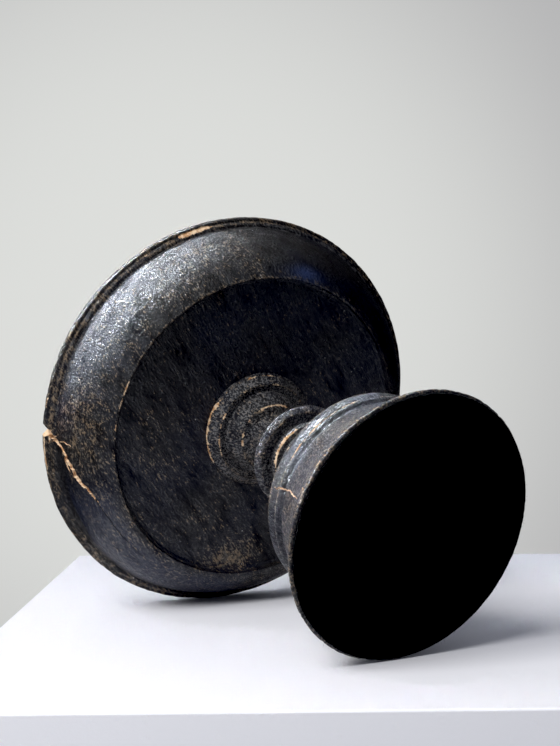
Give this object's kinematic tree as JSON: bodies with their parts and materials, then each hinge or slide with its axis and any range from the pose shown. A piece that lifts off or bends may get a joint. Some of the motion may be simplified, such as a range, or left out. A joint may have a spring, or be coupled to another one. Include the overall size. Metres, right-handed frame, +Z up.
{
  "type": "candlestick",
  "caption": "Turned wooden candlestick: wide dished plate with a centre spike for a pillar candle, short knopped stem, flared foot with a felt underside.",
  "frame": {"origin": "centre of the felt's underside, on the turning axis", "axes": "+Z up along the turning axis, from the foot to the plate; +X and +Y are arbitrary because the body is round, with the plate's grain running 50 degrees from +X towards +Y"},
  "size_m": [0.24, 0.24, 0.211],
  "materials": {
    "black_painted_wood": "worn satin black paint over pale open-grained wood",
    "black_felt": "matte felt with lint",
    "blackened_steel": "blackened, brushed bright near the point",
    "zinc_steel": "zinc plated, dulled"
  },
  "bodies": {
    "root": {"plate": "black_painted_wood", "stem": "black_painted_wood", "foot": "black_painted_wood", "felt_pad": "black_felt", "pricket": "blackened_steel", "foot_screw": "zinc_steel", "foot_washer": "zinc_steel"}
  },
  "joints": []
}
